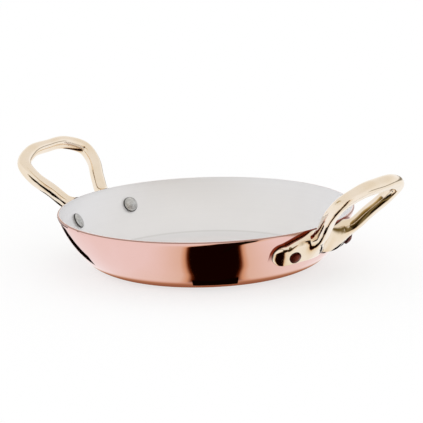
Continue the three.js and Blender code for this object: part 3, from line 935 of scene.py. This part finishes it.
world = bpy.data.worlds.new("white_tent")
bpy.context.scene.world = world
world.use_nodes = True
tree = world.node_tree
tree.nodes.clear()
coords = add(tree, "ShaderNodeTexCoord")
front, side, depth = (
    add(tree, "ShaderNodeVectorMath", {0: (coords, "Generated")}, {1: axis}, operation="DOT_PRODUCT")
    for axis in (towards, aside, Vector((0, 0, -1))))
along = add(tree, "ShaderNodeMath", {0: (front, "Value"), 1: (depth, "Value")}, operation="ARCTAN2")
across = add(tree, "ShaderNodeMath", {0: (side, "Value")}, operation="ARCSINE")
curves = []
for column in (1, 2):
    spots = [(math.radians(row[0]), math.radians(row[column])) for row in GAP]
    share = add(tree, "ShaderNodeMapRange", {"Value": (along, 0)},
                {"From Min": spots[0][0], "From Max": spots[-1][0]})
    curve = add(tree, "ShaderNodeFloatCurve", {"Value": (share, 0)})
    curve_points(curve.mapping, spots, -GAP_LIMIT, GAP_LIMIT)
    curves.append(add(tree, "ShaderNodeMapRange", {"Value": (curve, 0)},
                      {"To Min": -GAP_LIMIT, "To Max": GAP_LIMIT}))
off = add(tree, "ShaderNodeMath", {0: (across, 0), 1: (curves[0], 0)}, operation="SUBTRACT")
off = add(tree, "ShaderNodeMath", {0: (off, 0)}, operation="ABSOLUTE")
off = add(tree, "ShaderNodeMath", {0: (off, 0), 1: (curves[1], 0)}, operation="SUBTRACT")
off = add(tree, "ShaderNodeMapRange", {"Value": (off, 0)},
          {"From Min": math.radians(EDGE_LOW), "From Max": math.radians(EDGE_HIGH)})
edge = add(tree, "ShaderNodeValToRGB", {"Fac": (off, 0)})
ramp_stops(edge.color_ramp, EDGE_COLOURS, EDGE_LOW, EDGE_HIGH)
turn = add(tree, "ShaderNodeMapRange", {"Value": (along, 0)}, {"From Min": -math.pi, "From Max": math.pi})
core = add(tree, "ShaderNodeValToRGB", {"Fac": (turn, 0)})
ramp_stops(core.color_ramp, GAP_COLOURS, -180, 180)
inside = add(tree, "ShaderNodeMapRange", {"Value": (off, 0)},
             {"From Min": 0.0, "From Max": -EDGE_LOW / (EDGE_HIGH - EDGE_LOW)})
tent = add(tree, "ShaderNodeMix", {"Factor": (inside, 0), 6: (core, 0), 7: (edge, 0)}, data_type="RGBA")
level = add(tree, "ShaderNodeMath", {0: (depth, "Value")}, operation="ABSOLUTE")
overhead, near_level, behind, to_right = (
    add(tree, "ShaderNodeMapRange", {"Value": value}, {"From Min": start, "From Max": full}, **SOFT_STEP)
    for value, (start, full) in (((depth, "Value"), SKY_DEPTHS), ((level, 0), HORIZON_LEVELS),
                                 ((front, "Value"), HORIZON_TOWARDS), ((side, "Value"), HORIZON_ASIDE)))
line = add(tree, "ShaderNodeMath", {0: (behind, 0), 1: (to_right, 0)}, operation="MULTIPLY")
line = add(tree, "ShaderNodeMath", {0: (near_level, 0), 1: (line, 0)}, operation="MULTIPLY")
for mask, colour in ((overhead, SKY_COLOUR), (line, HORIZON_COLOUR)):
    tent = add(tree, "ShaderNodeMix", {"Factor": (mask, 0), 6: (tent, 2)}, {7: linear(colour)},
               data_type="RGBA", blend_type="MULTIPLY")
path = add(tree, "ShaderNodeLightPath")
sky = add(tree, "ShaderNodeMix", {"Factor": (path, "Is Glossy Ray"), 7: (tent, 2)},
          {6: linear("#FFFFFF")}, data_type="RGBA")
light = add(tree, "ShaderNodeBackground", {"Color": (sky, 2)})
add(tree, "ShaderNodeOutputWorld", {"Surface": (light, 0)})


# Dark cards that only polished metal shows.

WINDOW_SOFTNESS = 0.05


def glossy_only(piece, paint):
    """Makes a painted card show in reflections alone."""
    piece.data.materials.append(paint)
    for ray in ("camera", "diffuse", "transmission", "volume_scatter", "shadow"):
        setattr(piece, f"visible_{ray}", False)


def seen_from(tree, nearest, farthest):
    """1 for rays that have come between two distances in mm, with soft ends."""
    path = add(tree, "ShaderNodeLightPath")
    less, more = 1 - WINDOW_SOFTNESS, 1 + WINDOW_SOFTNESS
    far_enough, near_enough = (
        add(tree, "ShaderNodeMapRange", {"Value": (path, "Ray Length")},
            {"From Min": start * MM, "From Max": full * MM}, **SOFT_STEP)
        for start, full in ((less * nearest, more * nearest), (more * farthest, less * farthest)))
    return add(tree, "ShaderNodeMath", {0: (far_enough, 0), 1: (near_enough, 0)}, operation="MULTIPLY")


def card_output(tree, glow, cover):
    """Ends a card's material: its glow shows where its cover is 1, and it is clear elsewhere."""
    clear = add(tree, "ShaderNodeBsdfTransparent")
    both = add(tree, "ShaderNodeMixShader", {0: (cover, 0), 1: (clear, 0), 2: (glow, 0)})
    add(tree, "ShaderNodeOutputMaterial", {"Surface": (both, 0)})


# Flat cards: corners in mm to the right of the pan's middle and towards the camera.
LEFT_FLAG = [(-112.8, -34.3), (-104.0, -27.8), (-103.1, 27.8), (-133.5, 5.1)]
WEDGE_FLAG = [(-80, 24), (-88, 8), (-100, -20), (-112, -50), (-124, -82), (-142, -82), (-134, -50),
              (-120, -20), (-106, 2), (-92, 20)]
ROOT_FLAG = [(60, 66), (72, 62), (73, 72), (70, 82), (62, 80)]
LEG_FLAG = [(70, 62), (89, 63), (90, 76), (72, 84)]
LOBE_FLAG = [(85, 37), (90, 36), (95, 29), (100, 19), (104, 5), (106, -12), (94, -12), (88, 8), (85, 25)]
BAND_FLAG = [(-9.7, 72.9), (0, 73.5), (10, 72.8), (19.6, 70.8), (22, 80), (-11, 81)]
FLAG_COLOUR = "#0C0400"
NO_NEAREST, NO_FARTHEST = 1, 2000

# Each flat card with its height and the distances in mm from which it is seen.
for name, corners, height, nearest, farthest in (
        ("left_flag", LEFT_FLAG, 30, NO_NEAREST, NO_FARTHEST),
        ("wedge_flag", WEDGE_FLAG, 0.2, NO_NEAREST, NO_FARTHEST),
        ("band_flag", BAND_FLAG, 0.2, NO_NEAREST, NO_FARTHEST),
        ("root_flag", ROOT_FLAG, 0.2, 26, NO_FARTHEST),
        ("leg_flag", LEG_FLAG, 0.3, 45, NO_FARTHEST),
        ("lobe_flag", LOBE_FLAG, 0.2, 30, 55)):
    choose()
    bpy.ops.mesh.primitive_circle_add(vertices=len(corners), radius=1, fill_type="NGON")
    piece = named(name)
    for vertex, (u, v) in zip(piece.data.vertices, corners):
        vertex.co = (aside * u + towards * v + Vector((0, 0, height))) * MM
    paint = bare_paint(f"black_{name}")
    tree = paint.node_tree
    glow = add(tree, "ShaderNodeEmission", values={"Color": linear(FLAG_COLOUR)})
    card_output(tree, glow, seen_from(tree, nearest, farthest))
    glossy_only(piece, paint)

# The floor close under the base, as the copper of the bend shows it: brown from the light between them.
BASE_COLOURS = [(60, "#7A4A30"), (70, "#986444"), (74, "#A57359"), (76, "#BC8E68"), (79, "#E8C7B4")]
BASE_START, BASE_FADE, BASE_END = 60, 76, 81
BASE_LEVEL = 0.1
BASE_STEPS = 96
choose()
bpy.ops.mesh.primitive_circle_add(
    vertices=BASE_STEPS, radius=BASE_END * MM, fill_type="NGON", location=(0, 0, BASE_LEVEL * MM))
base_flag = named("base_flag")
bpy.ops.object.transform_apply(location=True)
paint = bare_paint("floor_under_base")
tree = paint.node_tree
coords = add(tree, "ShaderNodeTexCoord")
radius = add(tree, "ShaderNodeVectorMath", {0: (coords, "Object")}, operation="LENGTH")
reach = add(tree, "ShaderNodeMapRange", {"Value": (radius, "Value")},
            {"From Min": BASE_START * MM, "From Max": BASE_END * MM})
colour = add(tree, "ShaderNodeValToRGB", {"Fac": (reach, 0)})
ramp_stops(colour.color_ramp, BASE_COLOURS, BASE_START, BASE_END)
glow = add(tree, "ShaderNodeEmission", {"Color": (colour, 0)})
cover = add(tree, "ShaderNodeMapRange", {"Value": (radius, "Value")},
            {"From Min": BASE_END * MM, "From Max": BASE_FADE * MM}, **SOFT_STEP)
card_output(tree, glow, cover)
glossy_only(base_flag, paint)

# Soft round cards near the handles, with colours from the middle to the edge.
STREAK_COLOURS = [(0, "#0C0500"), (0.5, "#1E1204"), (0.75, "#4A3A10"), (0.9, "#8A7440"), (1, "#C8B488")]
OLIVE_COLOURS = [(0, "#5E4E26"), (0.4, "#6E5E36"), (0.7, "#94845C"), (1, "#C0B290")]

# Middle and half size in mm, turn in degrees, colours, share that is full, and distances as above.
for name, middle, half, turn, colours, full, nearest, farthest in (
        # The near leg of the left handle shows this one as a dark streak.
        ("streak_flag", (-80, -110, 28), (58, 26), (90, 32.7, 0), STREAK_COLOURS, 0.85, 71, 120),
        # The far lobe of the right foot shows this one as an olive shade.
        ("olive_flag", (150, 8, 44), (48, 58), (90, 0, 90), OLIVE_COLOURS, 0.45, 47, 84)):
    choose()
    bpy.ops.mesh.primitive_plane_add(
        size=2, location=Vector(middle) * MM, rotation=[math.radians(part) for part in turn])
    piece = named(name)
    piece.scale = (half[0] * MM, half[1] * MM, 1)
    paint = bare_paint(f"soft_{name}")
    tree = paint.node_tree
    coords = add(tree, "ShaderNodeTexCoord")
    radius = add(tree, "ShaderNodeVectorMath", {0: (coords, "Object")}, operation="LENGTH")
    colour = add(tree, "ShaderNodeValToRGB", {"Fac": (radius, "Value")})
    ramp_stops(colour.color_ramp, colours, 0, 1)
    glow = add(tree, "ShaderNodeEmission", {"Color": (colour, 0)})
    disc = add(tree, "ShaderNodeMapRange", {"Value": (radius, "Value")},
               {"From Min": 1.0, "From Max": full}, **SOFT_STEP)
    window = seen_from(tree, nearest, farthest)
    cover = add(tree, "ShaderNodeMath", {0: (disc, 0), 1: (window, 0)}, operation="MULTIPLY")
    card_output(tree, glow, cover)
    glossy_only(piece, paint)

# A tall card in front of the right handle, black below and paler up to the left, seen from its far leg.
TALL_COLOURS = [(-95, "#0A0500"), (0, "#1E1402"), (30, "#46340A"), (60, "#4E3C10"), (90, "#5A4618"),
                (120, "#7A6230"), (150, "#9C8454"), (190, "#C0A878"), (230, "#E8D8B4")]
# Sides and plane in mm, the slanting limits of its cover, and the distances from which it is seen.
TALL_LEFT, TALL_RIGHT = -60, 330
TALL_LOW, TALL_HIGH = -95, 230
TALL_PLANE = -110
TALL_RIGHT_FADE = (312, 296)
TALL_LEFT_FADE = (-85, -45)
SLANT_LOW, SLANT_HIGH = (192, 60), (-2, 240)
TALL_NEAREST, TALL_FARTHEST = 126, 270
choose()
bpy.ops.mesh.primitive_plane_add(size=1)
tall = named("right_flag")
tall_corners = [(x, z) for z in (TALL_LOW, TALL_HIGH) for x in (TALL_LEFT, TALL_RIGHT)]
for vertex, (x, z) in zip(tall.data.vertices, tall_corners):
    vertex.co = Vector((x, TALL_PLANE, z)) * MM
paint = bare_paint("shaded_card")
tree = paint.node_tree
coords = add(tree, "ShaderNodeTexCoord")
axes = add(tree, "ShaderNodeSeparateXYZ", {0: (coords, "Object")})
slant = add(tree, "ShaderNodeMapRange", {"Value": (axes, "Z")},
            {"From Min": SLANT_LOW[1] * MM, "From Max": SLANT_HIGH[1] * MM,
             "To Min": SLANT_LOW[0] * MM, "To Max": SLANT_HIGH[0] * MM})
off = add(tree, "ShaderNodeMath", {0: (axes, "X"), 1: (slant, 0)}, operation="SUBTRACT")
lean = add(tree, "ShaderNodeMath", {0: (axes, "X"), 1: (axes, "Z")}, operation="ADD")
right_side, left_side = (
    add(tree, "ShaderNodeMapRange", {"Value": (value, 0)},
        {"From Min": start * MM, "From Max": full * MM}, **SOFT_STEP)
    for value, (start, full) in ((lean, TALL_RIGHT_FADE), (off, TALL_LEFT_FADE)))
sides = add(tree, "ShaderNodeMath", {0: (right_side, 0), 1: (left_side, 0)}, operation="MULTIPLY")
window = seen_from(tree, TALL_NEAREST, TALL_FARTHEST)
cover = add(tree, "ShaderNodeMath", {0: (sides, 0), 1: (window, 0)}, operation="MULTIPLY")
height = add(tree, "ShaderNodeMapRange", {"Value": (axes, "Z")},
             {"From Min": TALL_LOW * MM, "From Max": TALL_HIGH * MM})
colour = add(tree, "ShaderNodeValToRGB", {"Fac": (height, 0)})
ramp_stops(colour.color_ramp, TALL_COLOURS, TALL_LOW, TALL_HIGH)
glow = add(tree, "ShaderNodeEmission", {"Color": (colour, 0)})
card_output(tree, glow, cover)
glossy_only(tall, paint)

# Camera.
choose()
bpy.ops.object.camera_add()
camera = bpy.context.object
camera.data.lens = VIEW_LENS
camera.data.sensor_width = VIEW_SENSOR
camera.data.clip_end = VIEW_CLIP_METRES
view_turn = Matrix((right, up, back)).transposed().to_4x4()
camera.matrix_world = Matrix.Translation((aim + VIEW_DISTANCE * back) * MM) @ view_turn
bpy.context.scene.camera = camera
bpy.context.scene.view_settings.view_transform = "Standard"
